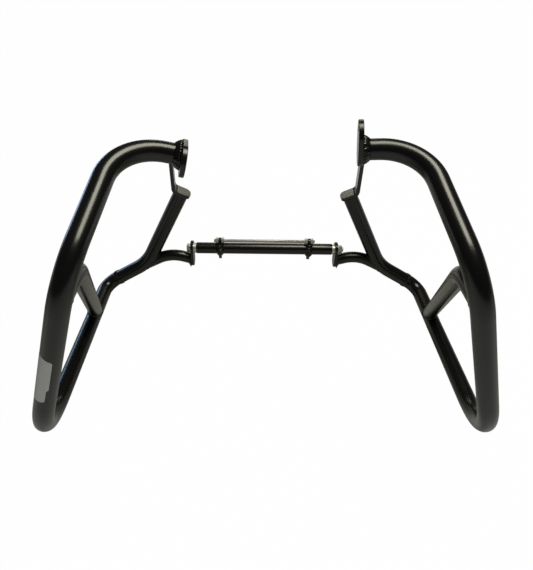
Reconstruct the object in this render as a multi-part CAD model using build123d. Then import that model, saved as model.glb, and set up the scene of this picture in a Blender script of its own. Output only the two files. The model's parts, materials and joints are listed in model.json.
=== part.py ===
from build123d import *

import os
from math import cos, radians, sin, tan

# Motorcycle crash bars: a left and a right guard of bent tube, tied together at the back by a
# cross tube. Millimetres. X runs across the bike, -Y is the front, +Z is up. The origin is on the
# floor under the middle, and the guards stand on their floor runs.

# Tube stock
TUBE_OD = 25.0
TUBE_WALL = 2.0
BRANCH_OD = 20.0
BRANCH_WALL = 2.0
BRACE_OD = 23.0
BRACE_WALL = 2.0

# Route of the main tube: X from the middle plane, heights of its corners, and its bends
UPPER_END_X = 107.5
UPPER_END_HEIGHT = {"left": 343.5, "right": 354.0}
UPPER_END_SETBACK = 8.5
UPPER_CORNER_X = 177.5
UPPER_CORNER_HEIGHT = 360.5
UPPER_SETBACK = 164.5
KNEE_X = 203.5
KNEE_HEIGHT = 288.0
FLOOR_RUN_X = 294.0
FLOOR_RUN_LENGTH = 369.0
UPPER_BEND = 64.0
KNEE_BEND = 72.5
FOOT_BEND = 95.0
HEEL_BEND = 25.0

# Route of the rear tube, from the butt joint to the strap
JOINT_ANGLE = 31.0
REAR_RUN = 43.0
REAR_BEND = 82.0
REAR_ANGLE = 63.0
REAR_RISE = 138.0

# Route of the brace: start below the knee corner, level stub, bend, and end before the heel corner
BRACE_DROP = 32.0
BRACE_STUB = 59.0
BRACE_BEND = 45.0
BRACE_HEEL_SETBACK = 84.0

# Route of the branch tube: its corner, out from the lower bracket and above its end there, and its bend
BRANCH_LEAD = 37.5
BRANCH_LIFT = 11.0
BRANCH_BEND = 62.0

# Upper plates: a slot outline with one bolt hole, turned round the tube by side
UPPER_PLATE_THICKNESS = 6.0
UPPER_PLATE_RIM = 6.5
UPPER_PLATE_LOBE = 16.0
UPPER_HOLE_REACH = 25.0
UPPER_HOLE = 8.5
UPPER_PLATE_ANGLE = {"left": 180.0, "right": 90.0}

# Rear straps: flat bar bent from the tube's end to upright
STRAP_THICKNESS = 6.0
STRAP_INNER_REACH = 15.0
STRAP_OUTER_REACH = 14.0
STRAP_RISE = 68.0
STRAP_BEND = 10.0
STRAP_CORNER = 9.0
STRAP_HOLE = 8.5
STRAP_ANGLE = 6.0
STRAP_HOLE_EDGE = 13.0

# Lower brackets and the cross tube between them
BRACKET_THICKNESS = 5.0
BRACKET_RIM = 3.0
BRACKET_PITCH = 22.5
BRACKET_HOLE = 9.0
CROSS_HEIGHT = 93.5
CROSS_LENGTH = 244.0
CROSS_OD = 20.0
CROSS_WALL = 2.0
CROSS_CHAMFER = 1.0
SPACER_OD = 18.0
SPACER_THICKNESS = 5.0

# Cross bolt
BOLT_D = 8.0
BOLT_HEAD_FLATS = 13.0
BOLT_HEAD_HEIGHT = 5.3
BOLT_TAIL = 2.5
NUT_HEIGHT = 6.5
WASHER_OD = 16.0
WASHER_THICKNESS = 1.6
BOLT_CLEARANCE = 0.4

# Clamp plates on the cross tube, with the tie rod through their upper lugs
CLAMP_SPACING = 159.0
CLAMP_THICKNESS = 5.0
CLAMP_COLLAR = 3.5
CLAMP_NUT_GAP = 0.5
CLAMP_LUG_RADIUS = 5.5
TIE_ROD_D = 6.0
TIE_ROD_TAIL = 3.0
TIE_NUT_FLATS = 10.0
TIE_NUT_HEIGHT = 5.0
TIE_CLEARANCE = 0.4

# Weld metal
UPPER_WELD_LEG = 4.8
UPPER_WELD_LENGTH = 7.5
FILLET_WELD_LEG = 3.0
BEAD_WIDTH = 7.0
BEAD_HEIGHT = 0.8
BEAD_MARGIN = 0.5

HEX_CHAMFER = 0.8
PLATE_EDGE = 0.6

# Widths, heights and depths that follow from the sizes above
UPPER_PLATE_WIDTH = TUBE_OD + 2 * UPPER_PLATE_RIM
STRAP_WIDTH = TUBE_OD
BRACKET_WIDTH = BRANCH_OD + 2 * BRACKET_RIM
CLAMP_LUG_REACH = CROSS_OD / 2 + CLAMP_NUT_GAP + TIE_NUT_FLATS / 2
FLOOR_RUN_Z = TUBE_OD / 2
JOINT_RUN = BEAD_WIDTH + 2 * BEAD_MARGIN
REAR_OVERHANG = max(BRACKET_WIDTH, TUBE_OD + 2 * BEAD_HEIGHT, CROSS_OD + 2 * CLAMP_COLLAR) / 2
REAR_Y = (FLOOR_RUN_LENGTH + TUBE_OD / 2 - REAR_OVERHANG) / 2
FRONT_Y = REAR_Y - FLOOR_RUN_LENGTH
UPPER_Y = FRONT_Y + UPPER_SETBACK
BRACKET_X = CROSS_LENGTH / 2 + SPACER_THICKNESS
BRACKET_FACE_X = BRACKET_X + BRACKET_THICKNESS
BRANCH_END_Z = CROSS_HEIGHT - BRACKET_PITCH


def slope(angle):
    """Unit vector inward and up at an angle to the floor, in the rear plane."""
    return Vector(-cos(radians(angle)), 0, sin(radians(angle)))


# Corners of the right-hand tubes
UPPER_CORNER = Vector(UPPER_CORNER_X, UPPER_Y, UPPER_CORNER_HEIGHT)
KNEE = Vector(KNEE_X, FRONT_Y, KNEE_HEIGHT)
FOOT = Vector(FLOOR_RUN_X, FRONT_Y, FLOOR_RUN_Z)
HEEL = Vector(FLOOR_RUN_X, REAR_Y, FLOOR_RUN_Z)
JOINT = HEEL + slope(JOINT_ANGLE) * (HEEL_BEND + JOINT_RUN / 2)
REAR_TANGENT = REAR_BEND * tan(radians(REAR_ANGLE - JOINT_ANGLE) / 2)
REAR_CORNER = JOINT + slope(JOINT_ANGLE) * (REAR_RUN + REAR_TANGENT)
REAR_TOP = REAR_CORNER + slope(REAR_ANGLE) * (REAR_RISE / sin(radians(REAR_ANGLE)))
BRANCH_END = Vector(BRACKET_FACE_X, REAR_Y, BRANCH_END_Z)
BRANCH_CORNER = BRANCH_END + Vector(BRANCH_LEAD, 0, BRANCH_LIFT)

MAIN_BENDS = [UPPER_BEND, KNEE_BEND, FOOT_BEND, HEEL_BEND]
REAR_ROUTE = [JOINT, REAR_CORNER, REAR_TOP]


def upper_end(side):
    """End of the main tube at its upper plate."""
    return Vector(UPPER_END_X, UPPER_Y + UPPER_END_SETBACK, UPPER_END_HEIGHT[side])


def main_route(side):
    return [upper_end(side), UPPER_CORNER, KNEE, FOOT, HEEL, JOINT]


def swept(route, bends, diameter, bore=0.0):
    """Round bar, or tube with a bore, along straight runs joined by tangent bends."""
    path = FilletPolyline(*route, radius=bends)
    section = Circle(diameter / 2)
    if bore:
        section -= Circle(bore / 2)
    return sweep(Plane(origin=path @ 0, z_dir=path % 0) * section, path=path)


def tube(route, bends, outside, wall):
    return swept(route, bends, outside, outside - 2 * wall)


def main_tube(side):
    return tube(main_route(side), MAIN_BENDS, TUBE_OD, TUBE_WALL)


def main_core(side):
    """The main tube filled in, to cope the tubes that end on it."""
    return swept(main_route(side), MAIN_BENDS, TUBE_OD)


def rear_tube():
    return tube(REAR_ROUTE, [REAR_BEND], TUBE_OD, TUBE_WALL)


def outside_bracket():
    """Space on the outer side of the lower bracket, to trim what ends on its face."""
    return Pos(BRANCH_END) * Box(
        FLOOR_RUN_X, 2 * FLOOR_RUN_X, 2 * FLOOR_RUN_X, align=(Align.MIN, Align.CENTER, Align.CENTER)
    )


def branch_tube():
    """Branch from inside the rear tube's bend to the lower bracket, coped at one end, flat at the other."""
    start = JOINT + slope(JOINT_ANGLE) * REAR_RUN
    reach = (BRANCH_END - BRANCH_CORNER).normalized() * BRANCH_OD
    blank = tube([start, BRANCH_CORNER, BRANCH_END + reach], [BRANCH_BEND], BRANCH_OD, BRANCH_WALL)
    blank -= swept(REAR_ROUTE, [REAR_BEND], TUBE_OD)
    return (blank & outside_bracket()).solids().sort_by(Axis.X)[0]


def brace_tube(side):
    """Strut that leaves the leg below the knee, bends down and ends on the floor run, coped at both ends."""
    start = KNEE + (FOOT - KNEE).normalized() * BRACE_DROP
    elbow = start + Vector(0, BRACE_STUB, 0)
    end = HEEL - Vector(0, BRACE_HEEL_SETBACK, 0)
    strut = tube([start, elbow, end], [BRACE_BEND], BRACE_OD, BRACE_WALL) - main_core(side)
    return strut.solids().sort_by(SortBy.VOLUME)[-1]


def plate(face, outline, thickness):
    """Flat plate cut to an outline, with its outer edges broken."""
    blank = extrude(face * outline, thickness)
    flats = blank.faces().filter_by(Axis(face.origin, face.z_dir))
    rims = [edge for flat in flats for edge in flat.outer_wire().edges()]
    return chamfer(rims, PLATE_EDGE)


def upper_plate(side):
    """Slot-shaped plate square to the tube's end, its lobe turned round the tube from the back upwards."""
    end = upper_end(side)
    outward = (UPPER_CORNER - end).normalized()
    back = (Vector(0, 1, 0) - outward * outward.Y).normalized()
    face = Plane(origin=end - outward * UPPER_PLATE_THICKNESS, x_dir=back, z_dir=outward)
    outline = SlotCenterPoint((UPPER_PLATE_LOBE / 2, 0), (UPPER_PLATE_LOBE, 0), UPPER_PLATE_WIDTH)
    outline -= Pos(UPPER_HOLE_REACH, 0) * Circle(UPPER_HOLE / 2)
    return plate(face, Rot(0, 0, UPPER_PLATE_ANGLE[side]) * outline, UPPER_PLATE_THICKNESS)


def rear_strap():
    """Flat bar that caps the rear tube, bent up to a leg with a bolt hole, its back edge turned outward."""
    up_tube = slope(REAR_ANGLE)
    outward = Vector(up_tube.Z, 0, -up_tube.X)
    seat = REAR_TOP + up_tube * (STRAP_THICKNESS / 2)
    corner = seat + outward * STRAP_OUTER_REACH
    tip = seat - outward * STRAP_INNER_REACH
    top = corner + Vector(0, 0, STRAP_RISE)
    path = FilletPolyline(tip, corner, top, radius=STRAP_BEND)
    section = Plane(origin=tip, x_dir=(0, 1, 0), z_dir=outward) * Rectangle(STRAP_WIDTH, STRAP_THICKNESS)
    bar = sweep(section, path=path)
    ends = [bar.faces().sort_by_distance(end)[0] for end in (tip, top)]
    corners = [edge for end in ends for edge in end.edges() if abs(edge.tangent_at(0.5).Y) < 0.5]
    bar = fillet(corners, STRAP_CORNER)
    drill = Rot(0, 90, 0) * Cylinder(STRAP_HOLE / 2, STRAP_THICKNESS * 2)
    bar -= Pos(top - Vector(0, 0, STRAP_HOLE_EDGE)) * drill
    return bar.rotate(Axis(REAR_TOP, up_tube), -STRAP_ANGLE)


def lower_bracket():
    """Slot-shaped plate from the branch tube's end to the cross bolt."""
    face = Plane(origin=(BRACKET_X, REAR_Y, CROSS_HEIGHT), x_dir=(0, 0, -1), z_dir=(1, 0, 0))
    outline = SlotCenterPoint((BRACKET_PITCH / 2, 0), (BRACKET_PITCH, 0), BRACKET_WIDTH)
    outline -= Circle(BRACKET_HOLE / 2)
    return plate(face, outline, BRACKET_THICKNESS)


def turned(profile, origin, direction):
    """Solid of revolution: the profile's x is the radius, its y runs along the direction."""
    radius = direction.cross(Vector(0, 0, 1)).normalized()
    plane = Plane(origin=origin, x_dir=radius, z_dir=radius.cross(direction))
    return revolve(plane * profile, Axis(origin, direction))


def upper_weld(side):
    """Cone of weld in the corner between the main tube and the upper plate."""
    radius = TUBE_OD / 2
    outline = Polyline((radius, UPPER_WELD_LENGTH), (radius, 0), (radius + UPPER_WELD_LEG, 0), close=True)
    return turned(make_face(outline), upper_end(side), (UPPER_CORNER - upper_end(side)).normalized())


def joint_weld():
    """Raised bead over the butt joint of the main tube and the rear tube."""
    radius = TUBE_OD / 2
    crown = radius + BEAD_HEIGHT
    half = BEAD_WIDTH / 2
    outline = Polyline((radius, half), (radius, -half), (crown, -half / 2), (crown, half / 2), close=True)
    return turned(make_face(outline), JOINT, slope(JOINT_ANGLE))


def hexagon(flats, height, bore=0.0):
    """Hexagon blank with chamfered corners on both ends, standing on its base."""
    blank = extrude(RegularPolygon(flats / 2, 6, major_radius=False), height)
    round_bar = extrude(Circle(blank.bounding_box().size.X / 2), height)
    blank &= chamfer(round_bar.edges().filter_by(GeomType.CIRCLE), HEX_CHAMFER)
    if bore:
        blank -= Cylinder(bore / 2, height * 3)
    return blank


def ring(outside, inside, height):
    """Plain washer or spacer standing on its base."""
    return extrude(Circle(outside / 2) - Circle(inside / 2), height)


def across(x, z, outward):
    """Place on an axis along X at a height in the rear plane, facing along +X or -X."""
    return Plane(origin=(x, REAR_Y, z), x_dir=(0, 1, 0), z_dir=(outward, 0, 0)).location


def cross_tube():
    blank = ring(CROSS_OD, CROSS_OD - 2 * CROSS_WALL, CROSS_LENGTH)
    rims = blank.edges().filter_by(GeomType.CIRCLE).group_by(SortBy.RADIUS)[-1]
    return across(-CROSS_LENGTH / 2, CROSS_HEIGHT, 1) * chamfer(rims, CROSS_CHAMFER)


def cross_bolt():
    """Long bolt from the left washer, through the cross tube, to past the nut on the right."""
    seat = BRACKET_FACE_X + WASHER_THICKNESS
    shank = extrude(Circle(BOLT_D / 2), 2 * seat + NUT_HEIGHT + BOLT_TAIL)
    head = Pos(0, 0, -BOLT_HEAD_HEIGHT) * hexagon(BOLT_HEAD_FLATS, BOLT_HEAD_HEIGHT)
    return across(-seat, CROSS_HEIGHT, 1) * (shank + head)


def cross_nut():
    seat = BRACKET_FACE_X + WASHER_THICKNESS
    return across(seat, CROSS_HEIGHT, 1) * hexagon(BOLT_HEAD_FLATS, NUT_HEIGHT, BOLT_D)


def bolt_washer():
    washer = ring(WASHER_OD, BOLT_D + BOLT_CLEARANCE, WASHER_THICKNESS)
    return across(BRACKET_FACE_X, CROSS_HEIGHT, 1) * washer


def cross_spacer():
    spacer = ring(SPACER_OD, BOLT_D + BOLT_CLEARANCE, SPACER_THICKNESS)
    return across(CROSS_LENGTH / 2, CROSS_HEIGHT, 1) * spacer


def clamp_plate():
    """Lozenge plate round the cross tube with a lug and hole above and below."""
    lugs = [Pos(reach, 0) for reach in (-CLAMP_LUG_REACH, CLAMP_LUG_REACH)]
    rounds = Circle(CROSS_OD / 2 + CLAMP_COLLAR).edges()
    for lug in lugs:
        rounds += (lug * Circle(CLAMP_LUG_RADIUS)).edges()
    outline = make_hull(rounds) - Circle(CROSS_OD / 2)
    for lug in lugs:
        outline -= lug * Circle((TIE_ROD_D + TIE_CLEARANCE) / 2)
    inner_x = CLAMP_SPACING / 2 - CLAMP_THICKNESS / 2
    face = Plane(origin=(inner_x, REAR_Y, CROSS_HEIGHT), x_dir=(0, 0, 1), z_dir=(1, 0, 0))
    return plate(face, outline, CLAMP_THICKNESS)


def tie_rod():
    half = CLAMP_SPACING / 2 + CLAMP_THICKNESS / 2 + TIE_NUT_HEIGHT + TIE_ROD_TAIL
    return across(0, CROSS_HEIGHT + CLAMP_LUG_REACH, 1) * Cylinder(TIE_ROD_D / 2, 2 * half)


def tie_nuts():
    """Nuts on both faces of each clamp plate, a flat of each towards the cross tube."""
    nut = hexagon(TIE_NUT_FLATS, TIE_NUT_HEIGHT, TIE_ROD_D)
    nuts = []
    for side in (-1, 1):
        for face in (-1, 1):
            x = side * CLAMP_SPACING / 2 + face * CLAMP_THICKNESS / 2
            nuts.append(across(x, CROSS_HEIGHT + CLAMP_LUG_REACH, face) * nut)
    return Compound(nuts)


def bracket_weld():
    """Fillet of weld round the branch tube, trimmed flat on the lower bracket's face."""
    radius = BRANCH_OD / 2
    leg = FILLET_WELD_LEG
    profile = make_face(Polyline((radius, leg), (radius, -leg), (radius + 2 * leg, -leg), close=True))
    cone = turned(profile, BRANCH_END, (BRANCH_CORNER - BRANCH_END).normalized())
    return cone & outside_bracket()


def guard(side):
    """The pieces of one guard, by name, on the right-hand side."""
    return {
        "main_tube": main_tube(side),
        "rear_tube": rear_tube(),
        "branch_tube": branch_tube(),
        "brace_tube": brace_tube(side),
        "upper_plate": upper_plate(side),
        "rear_strap": rear_strap(),
        "lower_bracket": lower_bracket(),
        "upper_weld": upper_weld(side),
        "joint_weld": joint_weld(),
        "bracket_weld": bracket_weld(),
        "bolt_washer": bolt_washer(),
        "cross_spacer": cross_spacer(),
        "clamp_plate": clamp_plate(),
    }


def build():
    pieces = {}
    for name, piece in guard("right").items():
        pieces["right_" + name] = piece
    for name, piece in guard("left").items():
        pieces["left_" + name] = mirror(piece, about=Plane.YZ)
    pieces["cross_tube"] = cross_tube()
    pieces["cross_bolt"] = cross_bolt()
    pieces["cross_nut"] = cross_nut()
    pieces["tie_rod"] = tie_rod()
    pieces["tie_rod_nuts"] = tie_nuts()
    return pieces


os.makedirs("parts", exist_ok=True)
for node, solid in build().items():
    export_step(solid, f"parts/{node}.step")
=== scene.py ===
"""Finishes, weld seams, threads, label and studio for a pair of motorcycle crash bars."""

import json
import math

import bpy
import bmesh
from mathutils import Matrix, Vector
from mathutils.bvhtree import BVHTree


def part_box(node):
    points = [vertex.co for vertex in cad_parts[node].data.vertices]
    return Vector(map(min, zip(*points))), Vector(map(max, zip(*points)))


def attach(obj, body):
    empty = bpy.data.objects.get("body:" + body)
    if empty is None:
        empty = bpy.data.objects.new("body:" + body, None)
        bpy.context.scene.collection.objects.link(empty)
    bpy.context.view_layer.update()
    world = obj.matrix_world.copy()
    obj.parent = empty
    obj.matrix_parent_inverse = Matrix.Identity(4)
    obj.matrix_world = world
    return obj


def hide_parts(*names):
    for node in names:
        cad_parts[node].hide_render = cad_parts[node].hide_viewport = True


bl_info = {
    "name": "Crash Bar Dresser",
    "version": (1, 0, 0),
    "blender": (4, 5, 0),
    "location": "View3D > Sidebar > Crash Bars",
    "description": "Coats, welds, threads, label and studio for a pair of motorcycle crash bars",
    "category": "Object",
}

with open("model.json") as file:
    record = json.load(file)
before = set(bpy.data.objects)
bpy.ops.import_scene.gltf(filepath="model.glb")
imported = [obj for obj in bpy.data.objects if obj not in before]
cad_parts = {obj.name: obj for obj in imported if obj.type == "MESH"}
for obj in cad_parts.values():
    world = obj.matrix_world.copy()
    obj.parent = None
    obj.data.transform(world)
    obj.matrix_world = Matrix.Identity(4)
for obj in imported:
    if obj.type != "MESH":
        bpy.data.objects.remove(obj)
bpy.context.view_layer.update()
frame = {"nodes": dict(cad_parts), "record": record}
IMAGE_HEIGHT = 570
MM = 0.001
BODY = "root"
COAT_SLOT, ZINC_SLOT = "black_coat", "zinc"
SIDES = ("left", "right")


def mm(x, y, z):
    """Point given in millimetres."""
    return Vector((x, y, z)) * MM


# Tube radii and corners of the right-hand guard, as in the part
TUBE_RADIUS = 12.5 * MM
BRANCH_RADIUS = 10.0 * MM
BRACE_RADIUS = 11.5 * MM
CROSS_RADIUS = 10.0 * MM
UPPER_ENDS = {"left": mm(107.5, -12.0, 343.5), "right": mm(107.5, -12.0, 354.0)}
UPPER_CORNER = mm(177.5, -20.5, 360.5)
KNEE = mm(203.5, -185.0, 288.0)
FOOT = mm(294.0, -185.0, 12.5)
HEEL = mm(294.0, 184.0, 12.5)
REAR_BEND_START = mm(232.28, 184.0, 49.58)
REAR_TOP = mm(141.82, 184.0, 199.69)
REAR_ANGLE = math.radians(63.0)
BRANCH_CORNER = mm(169.5, 184.0, 82.0)
BRANCH_END = mm(132.0, 184.0, 71.0)
BRACE_DROP, BRACE_STUB, BRACE_HEEL_SETBACK = 32.0, 59.0, 84.0
BRACE_START = KNEE + (FOOT - KNEE).normalized() * BRACE_DROP * MM
BRACE_ELBOW = BRACE_START + mm(0, BRACE_STUB, 0)
BRACE_FOOT = HEEL - mm(0, BRACE_HEEL_SETBACK, 0)
LEFT_TUBES = [node for node in frame["nodes"]
              if node.startswith("left_") and node.endswith("_tube")]

# Width and height of each guard's weld seams, in millimetres, and the seams laid in lumps
SEAM_SIZES = {
    "knee_seam": (3.6, 2.0),
    "foot_seam": (6.0, 3.4),
    "branch_seam": (4.0, 1.8),
    "strap_seam": (2.4, 1.6),
    "joint_ripples": (7.0, 1.0),
    "upper_ripples": (10.4, 2.8),
    "bracket_ripples": (5.0, 2.4),
    "clamp_inner_seam": (10.2, 5.2),
    "clamp_outer_seam": (10.2, 5.2),
}
LUMPY_SEAMS = ("upper_ripples", "clamp_inner_seam", "clamp_outer_seam")

# Seats of the ring seams: setback along the tube, rise over its surface, lean outward and along
LOOP_POINTS = 60
UPPER_SETBACK, UPPER_RISE, UPPER_LEAN = 4.3 * MM, 2.0 * MM, (0.84, 0.54)
BRACKET_SETBACK, BRACKET_RISE, BRACKET_LEAN = 1.4 * MM, 0.9 * MM, (0.7, 0.7)
JOINT_RISE, JOINT_LEAN = 0.5 * MM, (1.0, 0.0)
STRAP_LEAN = (1.0, -1.0)
CLAMP_LEAN = (1.0, 1.0)
CLAMP_FRONT_FILL = 1.5 * MM
RIPPLE_SUBDIVISIONS = 2

# Threads: ridge radius as a share of the pitch, corners of ridge and core, and the bolt's thread,
# which starts inside its nut
RIDGE_SHARE = 0.40
RIDGE_CORNERS = 6
CORE_CORNERS = 32
BOLT_THREAD_RADIUS = 4.2 * MM
BOLT_THREAD_START = 1.0 * MM

# Label: points along and round it, its seat on the coat, and the run of its notch
LABEL_ROWS, LABEL_COLUMNS = 56, 20
LABEL_LIFT = 0.02 * MM
NOTCH_RUN = 1.4 * MM

# Coat: noise cells per metre, the share of the roughness that the noises give back, and how far
# each of them dulls or lifts the surface
CLOUD_SCALE, GRAIN_SCALE, NIB_SCALE = 26.0, 2600.0, 420.0
TUBE_PEEL_SCALE, WELD_PEEL_SCALE = 700.0, 1500.0
WELD_PEEL_FACTOR = 3
NIB_EDGE = (0.76, 0.80)
COAT_CLEARING = 0.05
CLOUD_DULLS, GRAIN_DULLS, NIB_DULLS = 0.08, 0.02, 0.10
NIB_LIFTS, GRAIN_LIFTS = 0.5, 0.05
COAT_BUMP = 0.35

# Zinc: noise cells per metre, roughness, and bump
PATCH_SCALE, CELL_SCALE, TOOL_MARK_SCALE = 210.0, 900.0, 3200.0
ZINC_ROUGHNESS, PATCH_DULLS, CELL_DULLS = 0.34, 0.16, 0.10
CELL_LIFTS = 0.4
ZINC_BUMP, ZINC_BUMP_DEPTH = 0.25, 0.04 * MM

# Label film: noise cells per metre, the darker share of its tone, roughness, and bump
MOTTLE_SCALE, FILM_SCALE = 380.0, 2200.0
FILM_SHADE = 0.82
FILM_METAL = 0.75
FILM_ROUGHNESS, FILM_DULLS = 0.44, 0.12
FILM_BUMP, FILM_BUMP_DEPTH = 0.2, 0.03 * MM

# Stage: the floor's half width and grey, and how white the surroundings look
FLOOR_REACH = 8.0
FLOOR_GREY = (0.50, 0.50, 0.50, 1)
ROOM_TINT = (1.0, 0.99, 0.97, 1)
WHITE = (1, 1, 1, 1)
SEEN_WHITE = 0.99
ROOM_MIRRORED = 0.02

# How white the floor is in a mirror image, by depth: a painted pool of light in front, painted
# shade under the bars and painted light far behind them
PAINTED_FRONT_LIGHT_PLACES, PAINTED_FRONT_LIGHT_SHARES = (-0.24, -0.04), (0.36, 0.04)
PAINTED_BACK_LIGHT_PLACES, PAINTED_BACK_LIGHT_SHARES = (0.30, 0.65), (0.0, 0.50)

# Lamps: width and depth, place, the point aimed at, and colour
SOFTBOX = {"size": (0.85, 0.72), "place": (0.35, 0.08, 1.75), "target": (0.0, 0.02, 0.1),
           "colour": (1.0, 0.98, 0.80)}
WINDOW = {"size": (0.9, 0.35), "place": (-1.3, 1.2, 0.35), "target": (-0.25, 0.0, 0.05),
          "colour": (0.45, 0.66, 1.0)}
PANEL = {"size": (1.0, 0.25), "place": (0.05, 2.0, 1.0), "target": (0.0, 0.18, 0.2),
         "colour": (1.0, 0.95, 0.74)}

# Camera: sensor height in millimetres, and the nearest distance that it sees
SENSOR_HEIGHT = 36.0
CLIP_START = 0.01


class GuardFinish(bpy.types.PropertyGroup):
    """Colours and surface of the coat, the zinc and the label"""
    coat_dark: bpy.props.FloatVectorProperty(
        name="Coat dark", description="Deepest tone of the black powder coat", subtype="COLOR",
        size=4, min=0, max=1, default=(0.0032, 0.0032, 0.0034, 1))
    coat_light: bpy.props.FloatVectorProperty(
        name="Coat light", description="Palest tone of the black powder coat", subtype="COLOR",
        size=4, min=0, max=1, default=(0.0058, 0.0057, 0.0055, 1))
    coat_gloss: bpy.props.FloatProperty(
        name="Coat roughness", description="Middle roughness of the satin coat",
        min=0, max=1, default=0.25)
    coat_specular: bpy.props.FloatProperty(
        name="Coat specular", description="Specular level of the satin coat",
        min=0, max=1, default=0.50)
    peel_depth: bpy.props.FloatProperty(
        name="Orange peel depth", description="Height of the powder's orange peel", unit="LENGTH",
        default=0.000012)
    zinc_dark: bpy.props.FloatVectorProperty(
        name="Zinc dark", description="Dull patches of the zinc plate", subtype="COLOR",
        size=4, min=0, max=1, default=(0.66, 0.665, 0.66, 1))
    zinc_light: bpy.props.FloatVectorProperty(
        name="Zinc light", description="Bright patches of the zinc plate", subtype="COLOR",
        size=4, min=0, max=1, default=(0.88, 0.875, 0.84, 1))
    label_tone: bpy.props.FloatVectorProperty(
        name="Label", description="Silver grey of the bare label", subtype="COLOR",
        size=4, min=0, max=1, default=(0.62, 0.63, 0.63, 1))


class SeamSizes(bpy.types.PropertyGroup):
    """Ripples and lumps of the weld seams"""
    pitch: bpy.props.FloatProperty(
        name="Ripple pitch", description="Step from one weld ripple to the next", unit="LENGTH",
        default=0.0017)
    length: bpy.props.FloatProperty(
        name="Ripple length", description="Length of a ripple along the seam", unit="LENGTH",
        default=0.0034)
    uneven: bpy.props.FloatProperty(
        name="Unevenness", description="How much the ripples differ in size",
        min=0, max=1, default=0.13)
    lump: bpy.props.FloatProperty(
        name="Lump", description="How much coarser the lumps are than the ripples",
        min=1, max=4, default=2.0)
    lump_uneven: bpy.props.FloatProperty(
        name="Lump unevenness", description="How much the lumps differ in size",
        min=0, max=1, default=0.24)
    seed: bpy.props.IntProperty(
        name="Seed", description="Seed of the ripples' unevenness", default=7)


class ThreadSizes(bpy.types.PropertyGroup):
    """Threads of the tie rod and of the cross bolt"""
    rod_pitch: bpy.props.FloatProperty(
        name="Rod pitch", description="Thread pitch of the tie rod", unit="LENGTH", default=0.001)
    rod_depth: bpy.props.FloatProperty(
        name="Rod depth", description="Thread depth of the tie rod", unit="LENGTH", default=0.0006)
    bolt_pitch: bpy.props.FloatProperty(
        name="Bolt pitch", description="Thread pitch of the cross bolt", unit="LENGTH",
        default=0.00125)
    bolt_depth: bpy.props.FloatProperty(
        name="Bolt depth", description="Thread depth of the cross bolt", unit="LENGTH",
        default=0.0007)
    steps: bpy.props.IntProperty(
        name="Steps", description="Points in one turn of a thread", default=16)


class LabelSizes(bpy.types.PropertyGroup):
    """Outline and place of the bare label"""
    length: bpy.props.FloatProperty(
        name="Length", description="Length of the label along the tube", unit="LENGTH",
        default=0.072)
    width: bpy.props.FloatProperty(
        name="Width", description="Width of the label round the tube", unit="LENGTH",
        default=0.0218)
    slant: bpy.props.FloatProperty(
        name="Slant", description="Drop of the top edge from its outer to its inner corner",
        unit="LENGTH", default=0.0046)
    corner: bpy.props.FloatProperty(
        name="Corner", description="Corner radius of the label", unit="LENGTH", default=0.004)
    notch_place: bpy.props.FloatProperty(
        name="Notch place",
        description="Share of the half length at which the narrower foot starts",
        min=-1, max=1, default=0.37)
    notch_depth: bpy.props.FloatProperty(
        name="Notch depth", description="How much narrower the foot is", unit="LENGTH",
        default=0.0025)
    thickness: bpy.props.FloatProperty(
        name="Thickness", description="Thickness of the label", unit="LENGTH", default=0.0001)
    along: bpy.props.FloatProperty(
        name="Place along the leg", description="Share of the way from knee to foot",
        min=0, max=1, default=0.480)
    facing: bpy.props.FloatProperty(
        name="Facing", description="Turn of the label from the outer side towards the front",
        subtype="ANGLE", default=math.radians(62.0))


class StageSettings(bpy.types.PropertyGroup):
    """Camera and light"""
    camera_place: bpy.props.FloatVectorProperty(
        name="Camera", description="Place of the camera", subtype="TRANSLATION", size=3,
        default=(-0.02177, -0.57693, 0.56589))
    pitch: bpy.props.FloatProperty(
        name="Pitch", description="How far the camera looks down", subtype="ANGLE",
        default=math.radians(36.028))
    yaw: bpy.props.FloatProperty(
        name="Yaw", description="How far the camera looks to the right", subtype="ANGLE",
        default=math.radians(2.081))
    roll: bpy.props.FloatProperty(
        name="Roll", description="How far the camera leans", subtype="ANGLE",
        default=math.radians(-1.773))
    focal_pixels: bpy.props.FloatProperty(
        name="Focal length", description="Focal length in pixels of the picture", default=494.88)
    box_power: bpy.props.FloatProperty(
        name="Overhead softbox", description="Power of the softbox overhead", unit="POWER",
        default=18.5)
    side_power: bpy.props.FloatProperty(
        name="Side window", description="Power of the cool window light at the back left",
        unit="POWER", default=4.0)
    panel_power: bpy.props.FloatProperty(
        name="Back panel", description="Power of the low panel behind the object", unit="POWER",
        default=2.8)
    room: bpy.props.FloatProperty(
        name="Room", description="Strength of the dim room around the object",
        min=0, max=1, default=0.04)


class CrashBarSettings(bpy.types.PropertyGroup):
    """All settings of the crash bars"""
    finish: bpy.props.PointerProperty(
        name="Finish", description="Colours and surface", type=GuardFinish)
    seams: bpy.props.PointerProperty(
        name="Seams", description="Weld seams", type=SeamSizes)
    threads: bpy.props.PointerProperty(
        name="Threads", description="Screw threads", type=ThreadSizes)
    label: bpy.props.PointerProperty(
        name="Label", description="Bare label", type=LabelSizes)
    stage: bpy.props.PointerProperty(
        name="Stage", description="Camera and light", type=StageSettings)


def bar_settings(context):
    return context.scene.crash_bars


class Wire:
    """An output socket whose arithmetic adds Math nodes to its sheet."""

    def __init__(self, sheet, socket):
        self.sheet = sheet
        self.socket = socket

    def math(self, operation, *others):
        inputs = dict(enumerate((self,) + others))
        return self.sheet.add("ShaderNodeMath", inputs, operation=operation)

    def __add__(self, other):
        return self.math("ADD", other)

    def __mul__(self, other):
        return self.math("MULTIPLY", other)

    def __sub__(self, other):
        return self.math("SUBTRACT", other)

    def __rsub__(self, other):
        return self.sheet.add("ShaderNodeMath", {0: other, 1: self}, operation="SUBTRACT")

    __radd__ = __add__
    __rmul__ = __mul__


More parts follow.
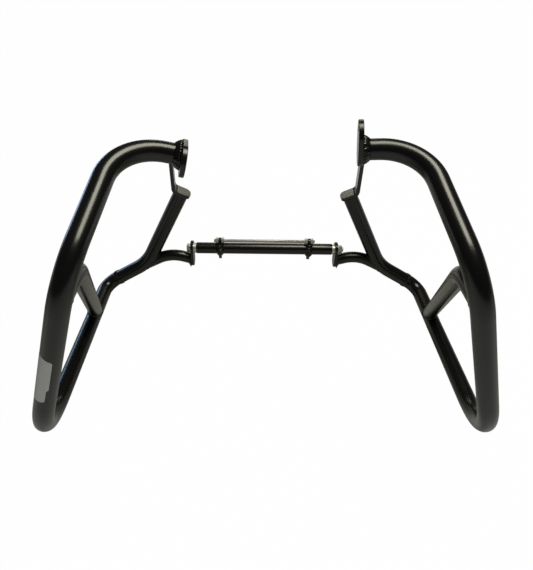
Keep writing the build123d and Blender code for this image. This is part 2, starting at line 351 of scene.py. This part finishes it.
class Sheet:
    """A node tree that is filled one node at a time."""

    def __init__(self, tree):
        self.tree = tree

    def add(self, kind, inputs=None, output=0, **settings):
        """Add a node: its settings first, then the values or wires of its sockets."""
        node = self.tree.nodes.new(kind)
        for name, value in settings.items():
            setattr(node, name, value)
        for key, value in (inputs or {}).items():
            if isinstance(value, Wire):
                self.tree.links.new(value.socket, node.inputs[key])
            else:
                node.inputs[key].default_value = value
        return Wire(self, node.outputs[output]) if len(node.outputs) else node


def new_material(name):
    """A new material with an empty node tree, and the sheet to fill it."""
    made = bpy.data.materials.new(name)
    made.use_nodes = True
    made.node_tree.nodes.clear()
    return made, Sheet(made.node_tree)


def noise(sheet, place, scale, detail, roughness=0.5):
    return sheet.add("ShaderNodeTexNoise", {
        "Vector": place, "Scale": scale, "Detail": detail, "Roughness": roughness})


def ramp(sheet, value, places, levels):
    """Level that runs from one to the other between two places, and stays flat beyond them."""
    return sheet.add("ShaderNodeMapRange", {
        "Value": value, "From Min": places[0], "From Max": places[1],
        "To Min": levels[0], "To Max": levels[1]}, clamp=True)


def blend_colour(sheet, factor, first, second):
    """Mix of two colours; the node's colour sockets share their names, so they go by number."""
    return sheet.add("ShaderNodeMix", {0: factor, 6: first, 7: second}, 2, data_type="RGBA")


def object_place(sheet):
    return sheet.add("ShaderNodeTexCoord", output="Object")


def bump(sheet, strength, distance, height):
    return sheet.add("ShaderNodeBump", {
        "Strength": strength, "Distance": distance, "Height": height})


def finish_surface(sheet, inputs):
    shader = sheet.add("ShaderNodeBsdfPrincipled", inputs)
    sheet.add("ShaderNodeOutputMaterial", {"Surface": shader})


def powder_coat(finish, name, peel_scale, peel_depth):
    """Satin black powder coat: faint clouding, orange peel and dust nibs."""
    _, sheet = new_material(name)
    place = object_place(sheet)
    cloud = noise(sheet, place, CLOUD_SCALE, detail=3.0)
    peel = noise(sheet, place, peel_scale, detail=1.5)
    grain = noise(sheet, place, GRAIN_SCALE, detail=1.0)
    dust = noise(sheet, place, NIB_SCALE, detail=0.0)
    nib = ramp(sheet, dust, NIB_EDGE, (0.0, 1.0))
    colour = blend_colour(sheet, cloud, tuple(finish.coat_dark), tuple(finish.coat_light))
    roughness = (finish.coat_gloss - COAT_CLEARING + cloud * CLOUD_DULLS + grain * GRAIN_DULLS
                 + nib * NIB_DULLS)
    height = peel + nib * NIB_LIFTS + grain * GRAIN_LIFTS
    finish_surface(sheet, {"Base Color": colour, "Roughness": roughness,
                           "Normal": bump(sheet, COAT_BUMP, peel_depth, height),
                           "Specular IOR Level": finish.coat_specular})


def zinc_plate(finish):
    """Bright zinc: patchy crystals, fine tool marks and dull spots."""
    _, sheet = new_material("zinc_plate")
    place = object_place(sheet)
    patch = noise(sheet, place, PATCH_SCALE, detail=3.0, roughness=0.6)
    cell = sheet.add("ShaderNodeTexVoronoi", {"Vector": place, "Scale": CELL_SCALE})
    marks = noise(sheet, place, TOOL_MARK_SCALE, detail=1.0)
    colour = blend_colour(sheet, patch, tuple(finish.zinc_dark), tuple(finish.zinc_light))
    roughness = ZINC_ROUGHNESS + patch * PATCH_DULLS + cell * CELL_DULLS
    height = marks + cell * CELL_LIFTS
    finish_surface(sheet, {"Base Color": colour, "Metallic": 1.0, "Roughness": roughness,
                           "Normal": bump(sheet, ZINC_BUMP, ZINC_BUMP_DEPTH, height)})


def label_film(finish):
    """Dull silver film, slightly mottled."""
    _, sheet = new_material("label_film")
    place = object_place(sheet)
    mottle = noise(sheet, place, MOTTLE_SCALE, detail=3.0, roughness=0.6)
    fine = noise(sheet, place, FILM_SCALE, detail=1.0)
    tone = tuple(finish.label_tone)
    darker = tuple(FILM_SHADE * c for c in tone[:3]) + (1.0,)
    colour = blend_colour(sheet, mottle, darker, tone)
    roughness = FILM_ROUGHNESS + fine * FILM_DULLS
    finish_surface(sheet, {"Base Color": colour, "Metallic": FILM_METAL, "Roughness": roughness,
                           "Normal": bump(sheet, FILM_BUMP, FILM_BUMP_DEPTH, fine)})


def finish_named(name):
    """One of the finishes that the first operator made."""
    return bpy.data.materials[name]


def dress(obj, finish):
    obj.data.materials.clear()
    obj.data.materials.append(finish_named(finish))


def new_object(name, data):
    obj = bpy.data.objects.new(name, data)
    bpy.context.scene.collection.objects.link(obj)
    return obj


def new_tree(name, inputs):
    """A Geometry Nodes tree with named inputs; gives its sheet and its input wires."""
    tree = bpy.data.node_groups.new(name, "GeometryNodeTree")
    tree.interface.new_socket("Geometry", in_out="INPUT", socket_type="NodeSocketGeometry")
    for label, kind in inputs.items():
        tree.interface.new_socket(label, in_out="INPUT", socket_type=kind)
    tree.interface.new_socket("Geometry", in_out="OUTPUT", socket_type="NodeSocketGeometry")
    sheet = Sheet(tree)
    entry = tree.nodes.new("NodeGroupInput")
    wires = {socket.name: Wire(sheet, socket) for socket in entry.outputs if socket.name}
    return sheet, wires


def close_tree(sheet, geometry, finish):
    """Realize, smooth and finish what the tree made, and hand it out."""
    solid = sheet.add("GeometryNodeRealizeInstances", {0: geometry})
    smooth = sheet.add("GeometryNodeSetShadeSmooth", {0: solid, "Shade Smooth": True})
    done = sheet.add("GeometryNodeSetMaterial", {0: smooth, "Material": finish})
    sheet.add("NodeGroupOutput", {0: done})


def grow(name, base, tree, values):
    """Run a Geometry Nodes tree on a base mesh and keep the result as a plain mesh object."""
    carrier = new_object(name + "_base", base)
    modifier = carrier.modifiers.new("make", "NODES")
    modifier.node_group = tree
    for item in tree.interface.items_tree:
        if item.in_out == "INPUT" and item.name in values:
            modifier[item.identifier] = values[item.name]
    graph = bpy.context.evaluated_depsgraph_get()
    mesh = bpy.data.meshes.new_from_object(carrier.evaluated_get(graph))
    if not len(mesh.polygons):
        raise RuntimeError(name + " came out empty")
    carrier.modifiers.remove(modifier)
    bpy.data.objects.remove(carrier)
    mesh.name = name
    return new_object(name, mesh)


def ripple_tree():
    """Overlapping weld ripples along a closed seam, each leaning out of the corner."""
    sheet, wire = new_tree("weld_ripples", {
        "Pitch": "NodeSocketFloat", "Length": "NodeSocketFloat", "Width": "NodeSocketFloat",
        "Height": "NodeSocketFloat", "Uneven": "NodeSocketFloat", "Seed": "NodeSocketInt",
        "Material": "NodeSocketMaterial"})
    curve = sheet.add("GeometryNodeMeshToCurve", {0: wire["Geometry"]})
    curve = sheet.add("GeometryNodeResampleCurve", {0: curve, "Length": wire["Pitch"]},
                      mode="LENGTH")
    lean = sheet.add("GeometryNodeInputNamedAttribute", {"Name": "lean"},
                     data_type="FLOAT_VECTOR")
    upright = sheet.add("FunctionNodeAlignRotationToVector", {"Vector": lean}, axis="Z")
    tangent = sheet.add("GeometryNodeInputTangent")
    turn = sheet.add("FunctionNodeAlignRotationToVector",
                     {"Rotation": upright, "Vector": tangent}, axis="X", pivot_axis="Z")
    size = sheet.add("ShaderNodeCombineXYZ", {
        "X": wire["Length"] * 0.5, "Y": wire["Width"] * 0.5, "Z": wire["Height"] * 0.5})
    # Sockets for single numbers share their names with those for vectors, so they go by number
    uneven = sheet.add("FunctionNodeRandomValue", {
        2: 1.0 - wire["Uneven"], 3: 1.0 + wire["Uneven"], "Seed": wire["Seed"]}, 1,
        data_type="FLOAT")
    size = sheet.add("ShaderNodeVectorMath", {0: size, "Scale": uneven}, operation="SCALE")
    ripple = sheet.add("GeometryNodeMeshIcoSphere", {
        "Radius": 1.0, "Subdivisions": RIPPLE_SUBDIVISIONS})
    row = sheet.add("GeometryNodeInstanceOnPoints", {
        "Points": curve, "Instance": ripple, "Rotation": turn, "Scale": size})
    close_tree(sheet, row, wire["Material"])
    return sheet.tree


def thread_tree():
    """A threaded bar standing on the origin: a core with a helical ridge."""
    sheet, wire = new_tree("screw_thread", {
        "Radius": "NodeSocketFloat", "Depth": "NodeSocketFloat", "Pitch": "NodeSocketFloat",
        "Length": "NodeSocketFloat", "Steps": "NodeSocketInt", "Material": "NodeSocketMaterial"})
    ridge = wire["Pitch"] * RIDGE_SHARE
    rise = wire["Length"] - 2.0 * ridge
    centre = wire["Radius"] - ridge
    helix = sheet.add("GeometryNodeCurveSpiral", {
        "Resolution": wire["Steps"], "Rotations": rise.math("DIVIDE", wire["Pitch"]),
        "Start Radius": centre, "End Radius": centre, "Height": rise})
    raised = sheet.add("ShaderNodeCombineXYZ", {"Z": ridge})
    helix = sheet.add("GeometryNodeTransform", {0: helix, "Translation": raised})
    profile = sheet.add("GeometryNodeCurvePrimitiveCircle", {
        "Resolution": RIDGE_CORNERS, "Radius": ridge})
    thread = sheet.add("GeometryNodeCurveToMesh", {
        "Curve": helix, "Profile Curve": profile, "Fill Caps": True})
    core = sheet.add("GeometryNodeMeshCylinder", {
        "Vertices": CORE_CORNERS, "Radius": wire["Radius"] - wire["Depth"],
        "Depth": wire["Length"]}, fill_type="NGON")
    half = sheet.add("ShaderNodeCombineXYZ", {"Z": wire["Length"] * 0.5})
    core = sheet.add("GeometryNodeTransform", {0: core, "Translation": half})
    join = sheet.tree.nodes.new("GeometryNodeJoinGeometry")
    for part in (core, thread):
        sheet.tree.links.new(part.socket, join.inputs[0])
    close_tree(sheet, Wire(sheet, join.outputs[0]), wire["Material"])
    return sheet.tree


def faces_of(node):
    """Search tree over the faces of a CAD node."""
    mesh = frame["nodes"][node].data
    corners = [vertex.co for vertex in mesh.vertices]
    return BVHTree.FromPolygons(corners, [face.vertices for face in mesh.polygons])


def middle(node):
    """Centre of a CAD node's box."""
    low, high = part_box(node)
    return (low + high) / 2


def flipped(vector):
    """The same point or direction on the other guard."""
    return Vector((-vector.x, vector.y, vector.z))


def circle(centre, axis, radius):
    """Evenly spaced points on a circle round an axis."""
    across = axis.orthogonal().normalized()
    other = axis.normalized().cross(across)
    turns = [math.tau * step / LOOP_POINTS for step in range(LOOP_POINTS)]
    return [centre + (across * math.cos(turn) + other * math.sin(turn)) * radius for turn in turns]


def ring_loop(centre, axis, radius, lean):
    """Closed loop of points round an axis, with the seam's lean outward and along the axis."""
    out_share, axis_share = lean
    along = axis.normalized() * axis_share
    return [(point, ((point - centre).normalized() * out_share + along).normalized())
            for point in circle(centre, axis, radius)]


def cope_loop(node, start, end, radius):
    """Seam where a tube from start to end meets a CAD node, leaning between the two surfaces."""
    faces = faces_of(node)
    along = (end - start).normalized()
    loop = []
    for point in circle(start, along, radius):
        hit, normal, _, _ = faces.ray_cast(point, along, (end - start).length)
        if hit is None:
            hit, normal = point + (end - start), -along
        loop.append((hit, (normal + (point - start).normalized()).normalized()))
    return loop


def mirrored(loop):
    """The loop on the other guard, run the same way round."""
    return [(flipped(point), flipped(lean)) for point, lean in reversed(loop)]


def loop_mesh(name, loop):
    """Edge loop with the lean of each point stored on it."""
    mesh = bpy.data.meshes.new(name)
    count = len(loop)
    edges = [(i, (i + 1) % count) for i in range(count)]
    mesh.from_pydata([point for point, _ in loop], edges, [])
    leans = mesh.attributes.new("lean", "FLOAT_VECTOR", "POINT")
    leans.data.foreach_set("vector", [c for _, lean in loop for c in lean])
    return mesh


class CRASHBARS_OT_finishes(bpy.types.Operator):
    """Make the finishes and put them on the CAD pieces"""
    bl_idname = "crashbars.finishes"
    bl_label = "Finish the pieces"

    def execute(self, context):
        finish = bar_settings(context).finish
        powder_coat(finish, "black_powder_coat", TUBE_PEEL_SCALE, finish.peel_depth)
        powder_coat(finish, "coated_weld", WELD_PEEL_SCALE, WELD_PEEL_FACTOR * finish.peel_depth)
        zinc_plate(finish)
        label_film(finish)
        slots = {s["node"]: s["material_slot"] for s in frame["record"]["subparts"]}
        for name, obj in frame["nodes"].items():
            if slots[name] == ZINC_SLOT:
                dress(obj, "zinc_plate")
            elif name.endswith("_weld"):
                dress(obj, "coated_weld")
            else:
                dress(obj, "black_powder_coat")
        return {"FINISHED"}


class CRASHBARS_OT_seams(bpy.types.Operator):
    """Lay the rippled weld seams on both guards"""
    bl_idname = "crashbars.seams"
    bl_label = "Weld seams"

    def execute(self, context):
        sizes = bar_settings(context).seams
        tree = ripple_tree()
        for side in SIDES:
            for name, loop in self.guard_seams(side).items():
                points = loop if side == "right" else mirrored(loop)
                width, height = SEAM_SIZES[name]
                lumpy = name in LUMPY_SEAMS
                coarse = sizes.lump if lumpy else 1.0
                piece = grow(side + "_" + name, loop_mesh(name, points), tree, {
                    "Pitch": sizes.pitch * coarse, "Length": sizes.length * coarse,
                    "Width": width * MM, "Height": height * MM,
                    "Uneven": sizes.lump_uneven if lumpy else sizes.uneven,
                    "Seed": sizes.seed + (side == "left"),
                    "Material": finish_named("coated_weld")})
                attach(piece, BODY)
        return {"FINISHED"}

    def guard_seams(self, side):
        """Loops of one guard's seams, in right-hand coordinates."""
        end = UPPER_ENDS[side]
        outward = (UPPER_CORNER - end).normalized()
        joint = middle("right_joint_weld")
        up_tube = Vector((-math.cos(REAR_ANGLE), 0, math.sin(REAR_ANGLE)))
        bracket = BRANCH_END + Vector((BRACKET_SETBACK, 0, 0))
        return {
            "knee_seam": cope_loop("right_main_tube", BRACE_ELBOW, BRACE_START, BRACE_RADIUS),
            "foot_seam": cope_loop("right_main_tube", BRACE_ELBOW, BRACE_FOOT, BRACE_RADIUS),
            "branch_seam": cope_loop("right_rear_tube", BRANCH_CORNER, REAR_BEND_START,
                                     BRANCH_RADIUS),
            "strap_seam": ring_loop(REAR_TOP, up_tube, TUBE_RADIUS, STRAP_LEAN),
            "joint_ripples": ring_loop(joint, REAR_BEND_START - joint, TUBE_RADIUS + JOINT_RISE,
                                       JOINT_LEAN),
            "upper_ripples": ring_loop(end + outward * UPPER_SETBACK, outward,
                                       TUBE_RADIUS + UPPER_RISE, UPPER_LEAN),
            "bracket_ripples": ring_loop(bracket, Vector((1, 0, 0)), BRANCH_RADIUS + BRACKET_RISE,
                                         BRACKET_LEAN),
            "clamp_inner_seam": self.clamp_loop(0),
            "clamp_outer_seam": self.clamp_loop(1),
        }

    def clamp_loop(self, face):
        """Seam of a clamp plate on the cross tube, on its inner or outer face, fuller in front."""
        away = Vector((2 * face - 1, 0, 0))
        centre = middle("cross_tube")
        centre.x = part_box("right_clamp_plate")[face].x
        centre.y -= CLAMP_FRONT_FILL
        return ring_loop(centre, away, CROSS_RADIUS, CLAMP_LEAN)


class CRASHBARS_OT_threads(bpy.types.Operator):
    """Cut the threads of the tie rod and of the cross bolt's end"""
    bl_idname = "crashbars.threads"
    bl_label = "Threads"

    def execute(self, context):
        sizes = bar_settings(context).threads
        tree = thread_tree()
        low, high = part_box("tie_rod")
        rod = self.bar("threaded_tie_rod", tree, middle("tie_rod"), (low.x, high.x), {
            "Radius": (high.z - low.z) / 2, "Pitch": sizes.rod_pitch, "Depth": sizes.rod_depth,
            "Steps": sizes.steps})
        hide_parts("tie_rod")
        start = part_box("cross_nut")[1].x - BOLT_THREAD_START
        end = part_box("cross_bolt")[1].x
        self.bar("cross_bolt_thread", tree, middle("cross_bolt"), (start, end), {
            "Radius": BOLT_THREAD_RADIUS, "Pitch": sizes.bolt_pitch, "Depth": sizes.bolt_depth,
            "Steps": sizes.steps})
        return {"FINISHED"}

    def bar(self, name, tree, axis, reach, values):
        """Threaded bar along X through a point on its axis."""
        start, end = reach
        piece = grow(name, bpy.data.meshes.new(name + "_seat"), tree, {
            "Length": end - start, "Material": finish_named("zinc_plate"), **values})
        seat = Matrix.Translation((start, axis.y, axis.z))
        piece.data.transform(seat @ Matrix.Rotation(math.pi / 2, 4, "Y"))
        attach(piece, BODY)
        return piece


class CRASHBARS_OT_label(bpy.types.Operator):
    """Stick the bare label on the left guard's front leg"""
    bl_idname = "crashbars.label"
    bl_label = "Label"

    def execute(self, context):
        sizes = bar_settings(context).label
        form = bmesh.new()
        skins = [self.skin(form, sizes, lift) for lift in (sizes.thickness, 0.0)]
        for grid in skins:
            for first, second in zip(grid, grid[1:]):
                for j in range(LABEL_COLUMNS):
                    form.faces.new((first[j], first[j + 1], second[j + 1], second[j]))
        upper, lower = [self.rim(grid) for grid in skins]
        for k in range(len(upper)):
            form.faces.new((upper[k - 1], upper[k], lower[k], lower[k - 1]))
        bmesh.ops.recalc_face_normals(form, faces=form.faces)
        mesh = bpy.data.meshes.new("bare_label")
        form.to_mesh(mesh)
        form.free()
        piece = new_object("bare_label", mesh)
        dress(piece, "label_film")
        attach(piece, BODY)
        return {"FINISHED"}

    def skin(self, form, sizes, lift):
        """Grid of points round the leg, lifted off its coat."""
        knee, foot = flipped(KNEE), flipped(FOOT)
        along = (foot - knee).normalized()
        centre = knee.lerp(foot, sizes.along)
        front = Vector((0, -1, 0))
        outer = along.cross(front).normalized()
        facing = outer * math.cos(sizes.facing) + front * math.sin(sizes.facing)
        across = facing.cross(along)
        radius = TUBE_RADIUS + LABEL_LIFT + lift
        grid = []
        for place, left, right, drop in self.rows(sizes):
            line = []
            for step in range(LABEL_COLUMNS + 1):
                share = step / LABEL_COLUMNS
                turn = (left + (right - left) * share) / TUBE_RADIUS
                radial = facing * math.cos(turn) + across * math.sin(turn)
                point = centre + along * (place + drop * share) + radial * radius
                line.append(form.verts.new(point))
            grid.append(line)
        return grid

    def rows(self, sizes):
        """Places along the label and its edges there: slanted top, round corners, narrow foot."""
        half = sizes.length / 2
        for step in range(LABEL_ROWS + 1):
            share = step / LABEL_ROWS
            place = (2 * share - 1) * half
            over = max(0.0, abs(place) - (half - sizes.corner))
            pull = sizes.corner - math.sqrt(max(0.0, sizes.corner ** 2 - over ** 2))
            past = min(1.0, max(0.0, (place - sizes.notch_place * half) / NOTCH_RUN))
            inner = sizes.width / 2 - pull - past * sizes.notch_depth
            yield place, -sizes.width / 2 + pull, inner, sizes.slant * (1 - share)

    @staticmethod
    def rim(grid):
        """Outline of a grid, in order."""
        inner = [line[-1] for line in grid[1:-1]]
        outer = [line[0] for line in reversed(grid[1:-1])]
        return grid[0] + inner + grid[-1][::-1] + outer


class CRASHBARS_OT_stage(bpy.types.Operator):
    """Set the floor, the lamps, the room and the camera"""
    bl_idname = "crashbars.stage"
    bl_label = "Studio"

    def execute(self, context):
        sizes = bar_settings(context).stage
        self.floor()
        self.room(context, sizes)
        self.lamp("overhead_softbox", sizes.box_power, **SOFTBOX)
        self.lamp("left_window", sizes.side_power, lit=LEFT_TUBES, **WINDOW)
        self.lamp("back_panel", sizes.panel_power, **PANEL)
        self.camera(context, sizes)
        context.scene.view_settings.view_transform = "Standard"
        return {"FINISHED"}

    def floor(self):
        """Floor that looks white, and in mirror images glows by depth: painted light in front and
        far behind, painted shade under the bars.
        """
        mesh = bpy.data.meshes.new("floor")
        corners = [(x * FLOOR_REACH, y * FLOOR_REACH, 0)
                   for x, y in ((-1, -1), (1, -1), (1, 1), (-1, 1))]
        mesh.from_pydata(corners, [], [(0, 1, 2, 3)])
        obj = new_object("floor", mesh)
        white, sheet = new_material("white_floor")
        diffuse = sheet.add("ShaderNodeBsdfDiffuse", {"Color": FLOOR_GREY})
        depth = sheet.add("ShaderNodeSeparateXYZ", {0: object_place(sheet)}, "Y")
        # Painted light in front of and far behind the bars, with painted shade under them, in the
        # floor's mirrored glow
        front = ramp(sheet, depth, PAINTED_FRONT_LIGHT_PLACES, PAINTED_FRONT_LIGHT_SHARES)
        back = ramp(sheet, depth, PAINTED_BACK_LIGHT_PLACES, PAINTED_BACK_LIGHT_SHARES)
        glow = sheet.add("ShaderNodeEmission", {"Color": WHITE, "Strength": 1.0})
        mixed = sheet.add("ShaderNodeMixShader", {
            0: self.white_share(sheet, front + back), 1: diffuse, 2: glow})
        sheet.add("ShaderNodeOutputMaterial", {"Surface": mixed})
        mesh.materials.append(white)

    def room(self, context, sizes):
        """Dim room that looks white."""
        world = bpy.data.worlds.new("room")
        context.scene.world = world
        world.use_nodes = True
        world.node_tree.nodes.clear()
        sheet = Sheet(world.node_tree)
        dim = sheet.add("ShaderNodeBackground", {"Color": ROOM_TINT, "Strength": sizes.room})
        white = sheet.add("ShaderNodeBackground", {"Color": WHITE, "Strength": 1.0})
        mixed = sheet.add("ShaderNodeMixShader", {
            0: self.white_share(sheet, ROOM_MIRRORED), 1: dim, 2: white})
        sheet.add("ShaderNodeOutputWorld", {"Surface": mixed})

    def white_share(self, sheet, mirrored_share):
        """Almost all white for the camera and through glass, less so in a mirror image."""
        seen, reflected, through = [
            sheet.add("ShaderNodeLightPath", output=ray)
            for ray in ("Is Camera Ray", "Is Glossy Ray", "Is Transmission Ray")]
        direct = seen.math("MAXIMUM", through) * SEEN_WHITE
        return direct.math("MAXIMUM", reflected * mirrored_share)

    def lamp(self, name, power, size, place, target, colour, lit=()):
        """A rectangular lamp; where CAD nodes are named, it lights those alone."""
        data = bpy.data.lights.new(name, "AREA")
        data.shape = "RECTANGLE"
        data.size, data.size_y = size
        data.energy = power
        data.color = colour
        obj = new_object(name, data)
        obj.location = place
        aim = Vector(target) - Vector(place)
        obj.rotation_euler = aim.to_track_quat("-Z", "Y").to_euler()
        if lit:
            receivers = bpy.data.collections.new(name + "_lights")
            for node in lit:
                receivers.objects.link(frame["nodes"][node])
            obj.light_linking.receiver_collection = receivers

    def camera(self, context, sizes):
        """Camera from its place, yaw, pitch and roll."""
        data = bpy.data.cameras.new("camera")
        data.sensor_fit = "VERTICAL"
        data.sensor_height = SENSOR_HEIGHT
        data.lens = sizes.focal_pixels / IMAGE_HEIGHT * SENSOR_HEIGHT
        data.clip_start = CLIP_START
        obj = new_object("camera", data)
        right = Vector((math.cos(sizes.yaw), -math.sin(sizes.yaw), 0))
        ahead = Vector((math.sin(sizes.yaw), math.cos(sizes.yaw), 0))
        forward = ahead * math.cos(sizes.pitch) + Vector((0, 0, -math.sin(sizes.pitch)))
        down = forward.cross(right)
        level = math.cos(sizes.roll) * right + math.sin(sizes.roll) * down
        lower = -math.sin(sizes.roll) * right + math.cos(sizes.roll) * down
        axes = Matrix((level, -lower, -forward)).transposed()
        obj.matrix_world = Matrix.Translation(sizes.camera_place) @ axes.to_4x4()
        context.scene.camera = obj


class CRASHBARS_PT_panel(bpy.types.Panel):
    """The crash bars' operators"""
    bl_idname = "CRASHBARS_PT_panel"
    bl_label = "Crash Bars"
    bl_space_type = "VIEW_3D"
    bl_region_type = "UI"
    bl_category = "Crash Bars"

    def draw(self, context):
        for step in STEPS:
            self.layout.operator(step.bl_idname)


GROUPS = (GuardFinish, SeamSizes, ThreadSizes, LabelSizes, StageSettings, CrashBarSettings)
STEPS = (CRASHBARS_OT_finishes, CRASHBARS_OT_seams, CRASHBARS_OT_threads, CRASHBARS_OT_label,
         CRASHBARS_OT_stage)
CLASSES = GROUPS + STEPS + (CRASHBARS_PT_panel,)


def register():
    for item in CLASSES:
        bpy.utils.register_class(item)
    bpy.types.Scene.crash_bars = bpy.props.PointerProperty(type=CrashBarSettings)


def unregister():
    del bpy.types.Scene.crash_bars
    for item in reversed(CLASSES):
        bpy.utils.unregister_class(item)


def main():
    register()
    bpy.ops.crashbars.finishes()
    bpy.ops.crashbars.seams()
    bpy.ops.crashbars.threads()
    bpy.ops.crashbars.label()
    bpy.ops.crashbars.stage()


if __name__ == "__main__":
    main()
